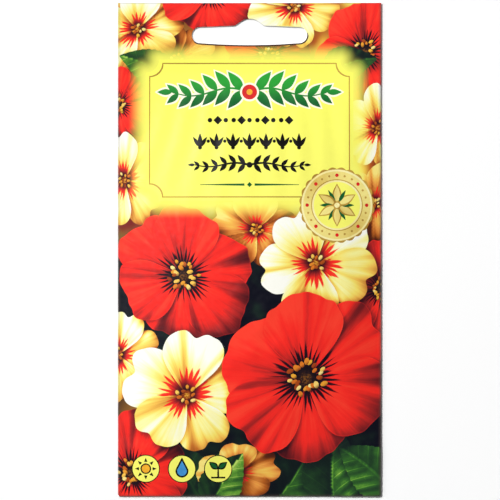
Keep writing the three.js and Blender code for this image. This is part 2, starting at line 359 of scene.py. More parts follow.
# Light from the upper left on the relief of a petal or leaf
pictureLight = {"from": np.array([-0.46, 0.52, 0.72]), "step": 0.08}


def litRelief(relief, points):
    step = pictureLight["step"]
    here = relief(points)
    slopeX = (relief(points + (step, 0)) - here) / step
    slopeY = (relief(points + (0, step)) - here) / step
    facing = np.stack([-slopeX, -slopeY, np.ones(len(points))], 1) @ pictureLight["from"]
    return np.clip(facing / np.sqrt(1 + slopeX**2 + slopeY**2) / np.linalg.norm(pictureLight["from"]), 0, 1)


def ringSpot(x, y, radius):
    return lambda points: (points - (x, y)) / radius


bloomKinds = {
    "scarlet": {"petals": 6, "spread": 47, "notch": 0.02, "wave": 0.05, "cup": 0.30, "curl": 0.20,
                "ripple": 0.050, "crease": 0.10, "eye": 0.13, "anthers": 24},
    "cream": {"petals": 5, "spread": 44, "notch": 0.13, "wave": 0.025, "cup": 0.24, "curl": 0.16,
              "ripple": 0.030, "crease": 0.16, "eye": 0.09, "anthers": 9},
    "amber": {"petals": 5, "spread": 45, "notch": 0.10, "wave": 0.03, "cup": 0.26, "curl": 0.22,
              "ripple": 0.035, "crease": 0.14, "eye": 0.09, "anthers": 9},
}
petalForm = {
    "sides": 0.30,  # reach at its sides, as a share of its length
    "fan": 3.2,  # a higher power is squarer
    "notchHalf": 0.16,
    "rimWaves": 2.2,
    "folds": 2.4,
    "foldDepth": 1.6,
    "foldRise": 1.8,
    "foot": 0.05,
    "rimPoints": 4.4,  # for each mm of rim
    "lit": (0.24, 0.84, 1.2),  # shade, light and contrast
    "throat": (0.02, 0.36, 0.35),  # from, to and how dark
    "tinted": (0.94, 0.12),  # the darkest petal, and how much paler the palest is
}
antherForm = {
    "size": (0.017, 0.027),  # share of the bloom's radius, from and to
    "least": 0.10,  # mm added to it
    "long": 1.5,
    "away": (0.75, 1.75),  # from the middle, in radii of the eye
    "sway": 9,
    "roll": 0.8,  # radians
}


def wavyNumbers(rng, count):
    return [(rng.uniform(0.5, 1), rng.uniform(0, 2 * math.pi), k) for k in range(1, count + 1)]


def waveAt(waves, value):
    return sum(a / k**1.6 * np.sin(k * value * 2.6 + phase) for a, phase, k in waves)


def addPetal(kind, middle, heading, length, spread, tilt, rng, family):
    turn, untilt = turning(heading), np.linalg.inv(tilt)
    waves = wavyNumbers(rng, 5)
    folds = wavyNumbers(rng, 4)

    def reach(q):
        q = np.clip(q, -1, 1)
        fan = petalForm["sides"] + (1 - petalForm["sides"]) * (1 - np.abs(q) ** petalForm["fan"]) ** 0.5
        dip = kind["notch"] * np.exp(-((q / petalForm["notchHalf"]) ** 2))
        wave = kind["wave"] * waveAt(waves, q * petalForm["rimWaves"]) * (1 - q**4)
        return length * fan * (1 - dip + wave)

    # distance from the bloom's middle, and q from -1 to 1 across the petal
    def polar(points):
        a, b = turn @ untilt @ (points - middle).T
        return np.hypot(a, b), np.degrees(np.arctan2(b, a)) / spread

    def spot(points):
        distance, q = polar(points)
        return np.stack([distance / reach(q), np.clip(q, -1.2, 1.2)], 1)

    def relief(points):
        distance, q = polar(points)
        s, q = distance / length, np.clip(q, -1.3, 1.3)
        funnel = kind["cup"] * (1 - (1 - np.clip(s, 0, 1)) ** 2)
        crease = kind["crease"] * s * (1 - q * q) ** 2
        ripple = kind["ripple"] * petalForm["foldDepth"] * waveAt(folds, q * petalForm["folds"])
        return length * (funnel - kind["curl"] * s**4 - crease + ripple * s ** petalForm["foldRise"])

    q = np.linspace(-1, 1, max(24, int(length * math.radians(spread) * petalForm["rimPoints"])))
    rim = ray(heading + q * spread, reach(q)[:, None])
    foot = ray(heading + np.array([spread, -spread]), petalForm["foot"] * length)
    tint = rng.random()

    def shade(points):
        start, end, dark = petalForm["throat"]
        low, high, contrast = petalForm["lit"]
        least, more = petalForm["tinted"]
        throat = dark + (1 - dark) * smooth(start, end, polar(points)[0] / length)
        return (low + high * litRelief(relief, points) ** contrast) * throat * (least + more * tint)

    loop = np.vstack([rim, foot]) @ tilt.T + middle
    addPrint(kind["ink"], loop, spot=spot, shade=shade, tint=tint, family=family)


# A bloom of petals round an eye with its anthers. Lean squashes it one way, as a bloom that faces aside.
def addBloom(ink, x, y, radius, turn, lean, leanAt, seed):
    kind, family, rng = {"ink": ink, **bloomKinds[ink]}, next(families), random.Random(seed)
    middle = np.array([x, y], float)
    tilt = turning(leanAt).T @ np.diag([1, lean]) @ turning(leanAt)
    count = kind["petals"]
    for i in (*range(0, count, 2), *range(1, count, 2)):
        heading = turn + 360 * i / count + rng.uniform(-5, 5)
        length = radius * rng.uniform(0.90, 1.04)
        addPetal(kind, middle, heading, length, kind["spread"] * rng.uniform(0.92, 1.06), tilt, rng, family)
    eye = radius * kind["eye"]
    loop = disc(0, 0, eye, 20) @ tilt.T + middle
    addPrint(ink + "Eye", loop, spot=ringSpot(x, y, eye), tint=rng.random(), family=family)
    for i in range(kind["anthers"]):
        around = 360 * i / kind["anthers"] + rng.uniform(-antherForm["sway"], antherForm["sway"])
        at = ray(around, eye * rng.uniform(*antherForm["away"]))
        size = radius * rng.uniform(*antherForm["size"]) + antherForm["least"]
        roll = math.degrees(rng.uniform(-antherForm["roll"], antherForm["roll"]))
        grain = oval(0, 0, size * antherForm["long"], size, 12) @ turning(around + roll)
        loop = (grain + at) @ tilt.T + middle
        spot = ringSpot(*loop.mean(0), size * 1.3)
        addPrint("anther", loop, spot=spot, tint=rng.random(), family=family)


leafForm = {
    "veins": 6.0,
    "veinLean": 1.7,
    "base": 0.72,  # below 1 the leaf is widest nearer its base
    "blunt": 0.85,
    "saw": 0.035,
    "sawPitch": 1.6,  # mm
    "narrowing": 0.12,
    "keel": 0.20,
    "puffs": 0.010,
    "droop": 0.35,
    "points": 2.2,  # for each mm
    "lit": (0.12, 0.92, 1.4),
}


def addLeaf(x, y, length, width, heading, bend, seed):
    turn = turning(heading)

    def bow(s):
        return bend * length * s * (1 - s) * 4

    def half(s):
        saw = 1 + leafForm["saw"] * (4 * np.abs(s * length / leafForm["sawPitch"] % 1 - 0.5) - 1)
        curve = np.sin(math.pi * s ** leafForm["base"]) ** leafForm["blunt"]
        return width / 2 * curve * saw * (1 - leafForm["narrowing"] * s)

    def spot(points):
        a, b = turn @ (points - (x, y)).T
        return np.stack([a / length, (b - bow(a / length)) / (width / 2)], 1)

    def relief(points):
        s, q = spot(points).T
        q = np.abs(q)
        keel = leafForm["keel"] * np.exp(-q * 2.2)
        puffs = leafForm["puffs"] * np.cos(2 * math.pi * (s * leafForm["veins"] - q * leafForm["veinLean"]))
        return width * (puffs * np.minimum(1, q * 3) - keel) - length * leafForm["droop"] * (s - 0.35) ** 2

    def shade(points):
        low, high, contrast = leafForm["lit"]
        return low + high * litRelief(relief, points) ** contrast

    t = np.linspace(0, 1, max(24, int(length * leafForm["points"])))
    loop = blade(t * length, bow(t), half(t)) @ turn + (x, y)
    addPrint("leaf", loop, spot=spot, shade=shade, tint=random.Random(seed).random(), family=next(families))


# The picture on the front, from back to front. A bloom has x, y, radius, turn, lean, the lean's heading and
# a seed for its random numbers, and a leaf has x, y, length, width, heading, bend and a seed.
picture = [
    ("amber", -22, 58, 13, 40, 0.85, 10, 10),
    ("scarlet", 6, 59, 14, 25, 0.85, 0, 9),
    ("cream", -34, 67, 15, 20, 0.85, 30, 11),
    ("scarlet", -12, 78, 15, 10, 0.9, 0, 12),
    ("cream", 14, 74, 15, 55, 0.9, 20, 13),
    ("scarlet", 35, 60, 17, 5, 0.85, 60, 14),
    ("scarlet", -40, 44, 13, 40, 0.8, 80, 15),
    ("cream", 39, 37, 14, 12, 0.85, 70, 16),
    ("cream", -38, 21, 15, 30, 0.8, 100, 17),
    ("amber", 38, 14, 13, 0, 0.8, 60, 18),
    ("leaf", -6, -60, 26, 17, 200, 0.05, 21),
    ("leaf", 8, -76, 27, 19, 62, -0.06, 22),
    ("leaf", -12, -80, 26, 20, 118, 0.05, 23),
    ("leaf", 40, -62, 22, 15, 250, 0.08, 24),
    ("leaf", -44, -36, 20, 13, 20, 0.1, 25),
    ("leaf", 2, 8, 18, 12, 300, 0.1, 26),
    ("leaf", 22, 52, 18, 12, 20, 0.1, 27),
    ("leaf", -24, 50, 18, 12, 150, -0.1, 28),
    ("amber", 2, 6, 14, 15, 0.85, 0, 31),
    ("scarlet", 40, -12, 15, 30, 0.85, 90, 32),
    ("cream", -40, -32, 15, 0, 0.85, 70, 33),
    ("scarlet", -36, -68, 19, 10, 0.9, 120, 34),
    ("cream", 20, -4, 19, 48, 0.95, 40, 35),
    ("amber", -4, -68, 13, 20, 0.8, 10, 36),
    ("leaf", 26, -79, 26, 19, 88, 0.06, 41),
    ("leaf", 44, -74, 22, 16, 140, -0.05, 42),
    ("leaf", -12, -79, 20, 14, 60, 0.05, 43),
    ("scarlet", -20, -8, 22, 22, 0.92, 150, 51),
    ("cream", -19, -44, 20, 8, 0.96, 20, 52),
    ("scarlet", 17, -39, 27, 38, 0.93, 40, 53),
]
bleed = 2  # mm of flat ink past the blank's edges


def drawPicture():
    addPrint("backdrop", box(leftX - 8, blankBottom - bleed, rightX + 8, topY + bleed), family=0)
    for kind, *form in picture:
        if kind == "leaf":
            addLeaf(*form)
        else:
            addBloom(kind, *form)


# The label on the front: a lemon plaque with hollow corners and rows of ornament, and no lettering

label = {
    "middle": (0, 36.3),
    "halfWidth": 31.5,
    "halfHeight": 21.5,
    "corner": 4.0,
    "line": (1.0, 1.35),  # the gold line's two sides, in from the plaque's edge
    "glow": 5.5,  # mm that its colour reaches over the picture
    "glowDepth": 0.92,
    "garlandY": 11.6,  # this and the next four are measured from the middle
    "beadsY": 3.0,
    "tulipsY": -3.4,
    "twigY": -10.6,
    "ruleY": -16.6,
    "rosette": ((2.9, "halo"), (2.3, "redInk"), (0.9, "amberInk")),
}
garland = {
    "bow": 0.16,  # this and the next three are shares of a leaf's length
    "leafWidth": 0.40,
    "shrink": 0.42,
    "endLeaf": (0.62, 0.25),
    "open": (52, 14),  # degrees between leaf and twig in the middle, and how much less at the end
    "twig": (0.7, 0.3),
    "haloTwig": 1.7,
    "haloGrow": 1.2,
}


def plaque(inset):
    x, y = label["middle"]
    w, h, r = label["halfWidth"] - inset, label["halfHeight"] - inset, label["corner"]
    corners = ((w, h, 270), (-w, h, 0), (-w, -h, 90), (w, -h, 180))
    return np.vstack([arc(x + dx, y + dy, r, r, start, start - 90, 9) for dx, dy, start in corners])


# Two boughs that meet in the middle, each with leaves in pairs along a wavy twig.
def drawGarland(middleX, middleY, halfWidth, leafLength, pairs, ink, halo=None):
    def along(way, share):
        bow = garland["bow"] * leafLength * np.sin(share * math.pi * 2)
        return np.stack([middleX + way * halfWidth * share, middleY + bow], -1)

    leaves, twigs = [], []
    wide, closing = garland["open"]
    endLength, endWidth = np.multiply(garland["endLeaf"], leafLength)
    for way, facing in ((-1, 180), (1, 0)):
        twigs.append(along(way, np.linspace(0, 1, 40)))
        for share in (np.arange(pairs) + 0.5) / pairs:
            size = leafLength * (1 - garland["shrink"] * share**1.5)
            for side in (-1, 1):
                heading = facing + way * side * (wide - closing * share)
                leaves.append((along(way, share), size, size * garland["leafWidth"], heading))
        leaves.append((along(way, 1), endLength, endWidth, facing))
    layers = [(ink, np.linspace(*garland["twig"], 40), 0, 0)]
    if halo:
        layers.insert(0, (halo, garland["haloTwig"], garland["haloGrow"], -0.5))
    for colour, width, grow, start in layers:
        for path in twigs:
            addPrint(colour, stroke(path, width))
        for place, long, broad, heading in leaves:
            addPrint(colour, almond(*(place + ray(heading, start)), long + grow, broad + grow, heading))


def drawTulips(middleX, y, count, apart, size, ink):
    # a row of small three-leaved tulips with dots between them
    for k in range(count):
        x = middleX + apart * (k - (count - 1) / 2)
        for heading, length, width in ((90, 0.94, 0.30), (124, 0.84, 0.26), (56, 0.84, 0.26)):
            addPrint(ink, almond(x, y - size * 0.40, size * length, size * width, heading))
        addPrint(ink, disc(x, y - size * 0.42, size * 0.13, 12))
        if k:
            addPrint(ink, disc(x - apart / 2, y, size * 0.11, 12))


def drawBeads(middleX, y, count, apart, size, ink):
    # a row of dots with a diamond at every third
    for k in range(count):
        x = middleX + apart * (k - (count - 1) / 2)
        addPrint(ink, disc(x, y, size * 0.5, 4) if k % 3 == 1 else disc(x, y, size * 0.26, 12))


def drawRule(middleX, y, halfWidth, height, ink):
    for way in (-1, 1):
        start, end = middleX + way * height * 2.2, middleX + way * halfWidth
        addPrint(ink, [(start, y - height / 2), (end, y - 0.08), (end, y + 0.08), (start, y + height / 2)])
    addPrint(ink, disc(middleX, y, height * 1.1, 4))


def drawLabel():
    x, y = label["middle"]
    outer, inner = label["line"]
    addPrint("lemon", plaque(0))
    addPrint("goldDeep", plaque(outer), spot=ringSpot(x, y, 30))
    addPrint("lemon", plaque(inner))
    drawGarland(x, y + label["garlandY"], halfWidth=23.5, leafLength=7.4, pairs=6, ink="leafInk", halo="halo")
    for size, ink in label["rosette"]:
        addPrint(ink, disc(x, y + label["garlandY"], size, 24))
    drawBeads(x, y + label["beadsY"], count=11, apart=2.4, size=2.7, ink="blackInk")
    drawTulips(x, y + label["tulipsY"], count=7, apart=5.0, size=4.6, ink="blackInk")
    drawGarland(x, y + label["twigY"], halfWidth=16.5, leafLength=3.6, pairs=6, ink="blackInk")
    addPrint("blackInk", disc(x, y + label["twigY"], 0.9, 16))
    drawRule(x, y + label["ruleY"], halfWidth=15, height=0.7, ink="leafInk")


# The seal: gold rings, beads between them, and a flower of six petals with a thin leaf in each gap

seal = {
    "at": (26.5, 13.5),
    "radius": 11.4,
    "scallops": 24,
    "scallopEdge": (0.96, 0.05),  # shares of the radius, least and how much more
    "rings": ((0.95, "goldLight"), (0.90, "gold"), (0.69, "goldDeep"), (0.665, "goldLight"), (0.62, "lemon")),
    "beadRing": 0.795,
    "beads": ((0.048, "redInk"), (0.030, "goldDeep"), (0.030, "goldDeep")),
    "petals": (  # ink, turn, mm from the middle, length, width and points
        ("goldDeep", 0, 0.4, 0.54, 0.25, 15),
        ("gold", 0, 0.9, 0.45, 0.17, 15),
        ("leafInk", 30, 1.2, 0.36, 0.10, 11),
    ),
    "heart": ((0.105, "goldDeep"), (0.07, "goldLight")),
}


def drawSeal():
    middle, r = seal["at"], seal["radius"]

    def press(ink, loop):
        addPrint(ink, loop, spot=ringSpot(*middle, r))

    least, more = seal["scallopEdge"]
    t = np.linspace(0, 360, seal["scallops"] * 8 + 1)[:-1]
    edge = least + more * np.abs(np.sin(np.radians(t) * seal["scallops"] / 2))
    press("goldDeep", middle + ray(t, r * edge[:, None]))
    for size, ink in seal["rings"]:
        press(ink, disc(*middle, r * size, 60))
    for k in range(24):
        size, ink = seal["beads"][k % 3]
        press(ink, disc(*(middle + ray(15 * k, r * seal["beadRing"])), r * size, 12))
    for heading in range(90, 450, 60):
        for ink, turn, start, length, width, count in seal["petals"]:
            at = middle + ray(heading + turn, start)
            press(ink, almond(*at, r * length, r * width, heading + turn, count))
    for size, ink in seal["heart"]:
        press(ink, disc(*middle, r * size, 20))


# The signs for sun, water and sprout, round (0, 0) and with the sign's radius as 1

sunRay = np.array([(0.48, -0.12), (0.78, 0), (0.48, 0.12)])
drop = np.vstack([(0, 0.98), arc(0, 0, 0.46, 0.46, 20, -200, 20)])
sun = [("blackInk", sunRay @ turning(45 * k)) for k in range(8)]
sun += [("blackInk", disc(0, 0, 0.38, 20)), ("amberInk", disc(0, 0, 0.29, 20))]
water = [("blackInk", drop - (0, 0.16)), ("blueInk", drop * 0.74 - (0, 0.16))]
sprout = [("blackInk", np.array([(-0.07, -0.6), (0.07, -0.6), (0.05, 0.1), (-0.05, 0.1)]))]
for heading in (38, 142):
    sprout.append(("blackInk", almond(0, 0, 0.82, 0.48, heading)))
    sprout.append(("leafInk", almond(*ray(heading, 0.09), 0.62, 0.28, heading)))
sprout.append(("blackInk", box(-0.5, -0.68, 0.5, -0.56)))

frontSigns = {
    "places": ((-31.5, -66.5), (-20.5, -66.5), (-9.5, -66.5)),
    "radius": 4.3,
    "rim": 0.28,
    "inks": ("blackInk", "lemon"),
    "size": 1,  # of the sign against its disc
    "count": 40,
}


def drawSigns(places, radius, rim, inks, size, count):
    for (x, y), shapes in zip(places, (sun, water, sprout)):
        for ink, inset in zip(inks, (0, rim)):
            addPrint(ink, disc(x, y, radius - inset, count))
        for colour, loop in shapes:
            addPrint(colour, loop * radius * size + (x, y))


# The back, the lap and the flap

backPrint = {
    "headerBand": 27,  # mm of green under the top edge
    "middle": backMiddle + 4.6,  # the middle of what the lap leaves in sight
    "halfWidth": 30,
    "inkEnds": 1.1,  # mm outside the front's edges, where the picture ends
    "garlandUp": 6.5,  # mm over the band's lower edge
    "tulipsY": 42,
    "steps": (12, 37),  # lowest and highest y of the three sowing steps
    "calendar": (-10, 4),
    "sown": {3: "leafInk", 4: "leafInk", 5: "leafInk", 6: "amberInk", 7: "redInk", 8: "redInk", 9: "redInk"},
    "cellGap": 0.12,
    "lines": (-38, -44.5, -51),  # dotted lines to write on
    "dots": (41, 1.5, 0.24),  # how many, how far apart and their radius
}
backSigns = {
    "places": [(backPrint["middle"] + x, -23) for x in (-22, 0, 22)],
    "radius": 7.0,
    "rim": 0.5,
    "inks": ("greenInk", "halo"),
    "size": 0.86,
    "count": 56,
}
sowing = {
    "soil": 0.42,  # share of the picture's height
    "margin": 1.6,
    "depth": 4.4,
    "seed": (1.7, 1.25),
    "grains": 16,
    "arrow": (4.2, 0.1, 0.7, 1.1),  # mm aside, half its width, and a head's half width and length
    # for each picture the plant's height, and each pair of leaves with its height and size
    "plants": ((0, ()), (0.34, ((1.0, 4.2),)), (0.66, ((0.72, 4.2), (0.324, 5.0)))),
    "flower": (3.9, 6),
}


def digitLoops(text, x, y, height):
    curve = bpy.data.curves.new("digits", "FONT")
    curve.body = text
    curve.size = height
    curve.align_x = "CENTER"
    curve.align_y = "CENTER"
    curve.resolution_u = 3
    holder = bpy.data.objects.new("digits", curve)
    scene.collection.objects.link(holder)
    mesh = bpy.data.meshes.new_from_object(holder.evaluated_get(bpy.context.evaluated_depsgraph_get()))
    uses = Counter(edge for face in mesh.polygons for edge in face.edge_keys)
    follow = defaultdict(list)
    for a, b in (edge for edge, count in uses.items() if count == 1):
        follow[a].append(b)
        follow[b].append(a)
    loops, left = [], set(follow)
    while left:
        chain = [left.pop()]
        while step := [n for n in follow[chain[-1]] if n in left]:
            chain.append(step[0])
            left.discard(step[0])
        loops.append(np.array([mesh.vertices[i].co[:2] for i in chain]) + (x, y))
    bpy.data.objects.remove(holder)
    bpy.data.curves.remove(curve)
    bpy.data.meshes.remove(mesh)
    return loops


def drawSoil(x, y, halfWidth, depth):
    t = np.linspace(-halfWidth, halfWidth, 30)
    top = np.stack([x + t, y + 0.35 * np.sin(t * 1.3)], 1)
    addPrint("soilInk", np.vstack([top, [(x + halfWidth, y - depth), (x - halfWidth, y - depth)]]))
    rng = random.Random(round(x * 10))
    for _ in range(sowing["grains"]):
        place = x + rng.uniform(-0.9, 0.9) * halfWidth, y - rng.uniform(0.18, 0.9) * depth
        addPrint("halo", disc(*place, rng.uniform(0.12, 0.26), 7))


# Three small pictures: the seed in its soil, the seedling, and the plant in bloom
def drawSteps(x, low, high, halfWidth):
    soilY = low + (high - low) * sowing["soil"]
    seedY = soilY - sowing["depth"]
    for k, (share, leaves) in enumerate(sowing["plants"]):
        cx = x + (k - 1) * halfWidth * 2 / 3
        drawSoil(cx, soilY, halfWidth / 3 - sowing["margin"], soilY - low - sowing["margin"])
        addPrint("amberInk", oval(cx, seedY, *sowing["seed"], 18))
        if not leaves:  # an arrow with two heads shows how deep the seed lies
            away, thin, wide, long = sowing["arrow"]
            for way, tip in ((-1, seedY - 0.2), (1, soilY - 0.2)):
                barbs = [(cx + away + side, tip - way * long) for side in (-wide, wide)]
                addPrint("lemon", [(cx + away, tip), *barbs])
            addPrint("lemon", box(cx + away - thin, soilY - 3.8, cx + away + thin, soilY - 1.0))
            continue
        topEnd = soilY + (high - soilY) * share
        bend = (cx + 0.9, soilY), (cx - 0.7, (soilY + topEnd) / 2)
        addPrint("greenInk", stroke(bezier((cx, seedY + 1), *bend, (cx, topEnd), 14), 0.7))
        for up, size in leaves:
            for heading in (28, 152):
                y = soilY + (topEnd - soilY) * up
                addPrint("leafInk", almond(cx, y, size, size * 0.46, heading, 13))
    radius, petals = sowing["flower"]
    for k in range(petals):
        addPrint("redInk", almond(cx, topEnd, radius, radius * 0.72, 90 + 360 / petals * k, 13))
    addPrint("amberInk", disc(cx, topEnd, radius * 0.24, 16))


def drawBack():
    middle, half = backPrint["middle"], backPrint["halfWidth"]
    left, right = blankLeft - bleed, leftX - backPrint["inkEnds"]
    bottom, top = blankBottom - bleed, topY + bleed
    bandY = topY - backPrint["headerBand"]
    addPrint("ground", box(left, bottom, right, top))
    addPrint("ground", box(rightX + backPrint["inkEnds"] + 0.2, bottom, blankRight + bleed, top))
    addPrint("greenInk", box(leftX - 0.2, bottom, rightX + 0.2, bottomY - backPrint["inkEnds"]))
    addPrint("greenInk", box(left, bandY, right, top))
    addPrint("goldDeep", box(left, bandY - 1.2, right, bandY - 0.7), spot=ringSpot(middle, bandY, 30))
    garlandY = bandY + backPrint["garlandUp"]
    drawGarland(middle, garlandY, halfWidth=22, leafLength=5.0, pairs=7, ink="lemon")
    addPrint("lemon", disc(middle, garlandY, 1.5, 16))
    drawTulips(middle, backPrint["tulipsY"], count=9, apart=5.0, size=4.2, ink="greenInk")

    low, high = backPrint["steps"]
    addPrint("greenInk", box(middle - half, low, middle + half, high))
    for x in (-half * 2 / 3, 0, half * 2 / 3):
        addPrint("halo", box(middle + x - half / 3, low, middle + x + half / 3, high, -0.35))
    drawSteps(middle, low, high, half)

    low, high = backPrint["calendar"]
    cell, split, gap = half * 2 / 12, (low + high) / 2, backPrint["cellGap"]
    addPrint("greenInk", box(middle - half, low, middle + half, high, 0.1))
    for k in range(12):
        x = middle - half + cell * k
        addPrint("halo", box(x, split, x + cell, high, -gap))
        addPrint(backPrint["sown"].get(k + 1, "ground"), box(x, low, x + cell, split, -gap))
        addPrint("blackInk", *digitLoops(str(k + 1), x + cell / 2, (split + high) / 2, 3.9))

    drawSigns(**backSigns)
    dots, apart, radius = backPrint["dots"]
    for y in backPrint["lines"]:
        for k in range(dots):
            addPrint("greenInk", disc(middle - half + apart * k, y, radius, 8))


# A painted shadow: a dark line along the slot's lower and right rim, pushed out onto the paper there and
# tucked inside the slot elsewhere.
slotShadow = {
    "width": 0.42,
    "under": 0.3,  # share of the width by which it stays inside the slot where it doesn't show
    "shows": (0.47, -0.88),
    "fade": (-0.1, 0.6),
}


def drawSlotShadow():
    loop = slotOutline(0)
    ahead = np.roll(loop, -1, axis=0) - np.roll(loop, 1, axis=0)
    outward = ahead[:, ::-1] * (1, -1) / np.linalg.norm(ahead, axis=1)[:, None]
    shown = smooth(*slotShadow["fade"], outward @ slotShadow["shows"])[:, None]
    reach = (1 + slotShadow["under"]) * shown - slotShadow["under"]
    addPrint("cutLineInk", loop + outward * slotShadow["width"] * reach)


drawPicture()
drawLabel()
drawSeal()
drawSigns(**frontSigns)
drawSlotShadow()
drawBack()
print("print: drew", len(prints), "shapes")


# The sheet: one triangle mesh with an edge along every outline that shows

sheetGrid = {
    "front": (0.62, 0.5),  # mm between points, and how clear they stay of the outlines
    "back": (2.4, 0.9),
    "inside": (2.5, 0.9),
    "edge": 1.2,
    "fold": 1.4,
    "crest": 0.3,  # share of a fold's width where it stands out furthest
    "sharp": 50,  # degrees, edges sharper than this aren't smoothed
    "plainBake": (0.06, 0.008),  # scale and place of the plain inside, in a free corner of the bake's square
}
mapScale = 100  # mm of the blank to one unit of a UV map
edgeReach = 10  # mm, the longest distance to an edge that the mesh carries
paperShape, *holeShapes = map(shapeOf, (blankOutline(), slotOutline(0), slotOutline(backMiddle)))


def onPaper(points):
    return insideOf(paperShape, points) & ~np.any([insideOf(hole, points) for hole in holeShapes], 0)


def foldSegments():
    segments = []
    for share in np.linspace(0, 1, packet["foldSteps"] + 1):
        y = bottomY - bottomFold * share
        lines = [((cornerX[0], y), (cornerX[1], y))]
        lines += [((x, panelY), (x, topY)) for x in (leftX - leftFold * share, rightX + rightFold * share)]
        for start, end in lines:
            spots = np.linspace(start, end, math.ceil(math.dist(start, end) / sheetGrid["fold"]) + 1)
            segments.append(np.hstack([spots[:-1], spots[1:]]))
    return np.vstack(segments)


def visibleSegments():
    found = []
    for i, shape in enumerate(prints):
        segments = shape["segments"]
        segments = segments[onPaper(segments[:, :2]) | onPaper(segments[:, 2:])]
        for over in prints[i + 1:]:
            if (over["low"] <= shape["high"]).all() and (over["high"] >= shape["low"]).all():
                segments = segments[~(insideOf(over, segments[:, :2]) & insideOf(over, segments[:, 2:]))]
        found.append(segments)
    return np.vstack(found)


def hexGrid(left, bottom, right, top, step):
    rows = []
    for k, y in enumerate(np.arange(bottom, top, step * 0.866)):
        x = np.arange(left + k % 2 * step / 2, right, step)
        rows.append(np.stack([x, np.full_like(x, y)], 1))
    return np.vstack(rows)


# Triangles of the blank with an edge along every segment, and spots of the grids where there is room.
def paperMesh(segments, grids, wanted):
    points = segments.reshape(-1, 2)
    edges = np.arange(len(points)).reshape(-1, 2).tolist()
    taken = np.vstack([points, (segments[:, :2] + segments[:, 2:]) / 2])
    parts = [points]
    for *area, (step, clear) in grids:
        busy = set(map(tuple, (taken // clear).tolist()))
        grid = hexGrid(*area, step)
        parts.append(grid[[tuple(cell) not in busy for cell in (grid // clear).tolist()]])
    places, _, faces, *_ = delaunay_2d_cdt([Vector(p) for p in np.vstack(parts)], edges, [], 0, 1e-5, False)
    places, faces = np.array([p[:] for p in places]), np.array([f[:] for f in faces if len(f) == 3])
    faces = faces[onPaper(places[faces].mean(1))]
    a, b, c = places[faces].transpose(1, 0, 2)
    area = (b[:, 0] - a[:, 0]) * (c[:, 1] - a[:, 1]) - (b[:, 1] - a[:, 1]) * (c[:, 0] - a[:, 0])
    faces = np.where((area * wanted < 0)[:, None], faces[:, ::-1], faces)[np.abs(area) > 1e-9]
    used, faces = np.unique(faces, return_inverse=True)
    return places[used], faces.reshape(-1, 3)


def outerMesh():
    edges = [shape["segments"] for shape in (paperShape, *holeShapes)]
    return paperMesh(np.vstack([*edges, foldSegments(), visibleSegments()]), [
        (leftX, bottomY, rightX, topY, sheetGrid["front"]),
        (blankLeft, bottomY, leftX - 1, topY, sheetGrid["back"]),
        (rightX + 1, bottomY, blankRight, topY, sheetGrid["back"]),
        (leftX, blankBottom, rightX, flapTop - 0.3, sheetGrid["back"]),
    ], 1)


def innerMesh(rimSegments):
    grid = blankLeft, blankBottom, blankRight, topY, sheetGrid["inside"]
    return paperMesh(np.vstack([rimSegments, foldSegments()]), [grid], -1)


def rimOf(faces):
    sides = np.vstack([faces[:, [0, 1]], faces[:, [1, 2]], faces[:, [2, 0]]])
    there = set(map(tuple, sides.tolist()))
    return np.array([(a, b) for a, b in there if (b, a) not in there])


def ownersOf(centres):
    owner = np.zeros(len(centres), int)
    for i, shape in enumerate(prints):
        owner[insideOf(shape, centres)] = i
    return owner


# How far each point is from the blank's edge, and from where the paper is folded.
def edgeDistances(points):
    x, y = points.T
    crest = sheetGrid["crest"]
    folds = x - leftX + leftFold * crest, x - rightX - rightFold * crest, y - bottomY + bottomFold * crest
    return np.stack([np.abs(distanceFrom(paperShape, points)), np.abs(folds).min(0)], 1)


# How petals, leaves and anthers shade what lies under them: the shift and blur in mm, and the strength
shadeCast = {
    "way": np.array([0.75, -0.66]),
    "own": (0.45, 1.3, 0.42),  # on petals of its own bloom
    "other": (1.7, 3.4, 0.60),
    "anther": (0.25, 0.5, 0.3),
    "reach": 5,
}
backdropSpots = (  # soft colour between the petals: x, y and radius of the cream and of the red spots
    ((-20, 62, 9), (26, 70, 7), (34, -24, 7), (-34, -50, 6)),
    ((8, 60, 8), (-36, 8, 7), (-2, 20, 8)),
)


def shadows(points, owner):
    light = np.ones(len(points))
    family = np.array([shape["family"] for shape in prints])[owner]
    for j, over in enumerate(prints):
        if over["family"] <= 0:
            continue
        low, high = over["low"] - shadeCast["reach"], over["high"] + shadeCast["reach"]
        near = (family >= 0) & (owner < j) & ((points > low) & (points < high)).all(1)
        for own, cast in ((True, "own"), (False, "other")):
            part = np.where(near & ((family == over["family"]) == own))[0]
            drop, blur, strength = shadeCast["anther" if over["ink"] == "anther" else cast]
            away = distanceFrom(over, points[part] - shadeCast["way"] * drop)
            light[part] *= 1 - strength * smooth(blur, -blur * 0.4, away)
    return light


# For each corner of a printed triangle its place in its petal or leaf, and its shade, tint, edge and veil
def cornerInks(places, faces, owner):
    keys, corner = np.unique(faces.reshape(-1) * len(prints) + np.repeat(owner, 3), return_inverse=True)
    vertex, shape = np.divmod(keys, len(prints))
    points = places[vertex]
    spot = points / mapScale
    values = np.ones((len(keys), 4))
    for i, entry in enumerate(prints):
        mine = np.where(shape == i)[0]
        here = points[mine]
        if entry["spot"]:
            spot[mine] = entry["spot"](here)
        if entry["shade"]:
            values[mine, 0] = entry["shade"](here)
        values[mine, 1] = entry["tint"]
        if entry["family"] > 0:
            values[mine, 2] = np.clip(-distanceFrom(entry, here) / 4, 0, 1)
        if entry["family"] == 0:
            for column, spots in enumerate(backdropSpots, 1):
                near = [np.exp(-((here - (x, y)) ** 2).sum(1) / r**2) for x, y, r in spots]
                values[mine, column] = sum(near)
    values[:, 0] *= shadows(points, shape)
    glow = smooth(label["glow"], 0, distanceFrom(shapeOf(plaque(0)), points)) * label["glowDepth"]
    values[:, 3] = glow * np.array([entry["family"] >= 0 for entry in prints])[shape]
    return spot[corner], values[corner]


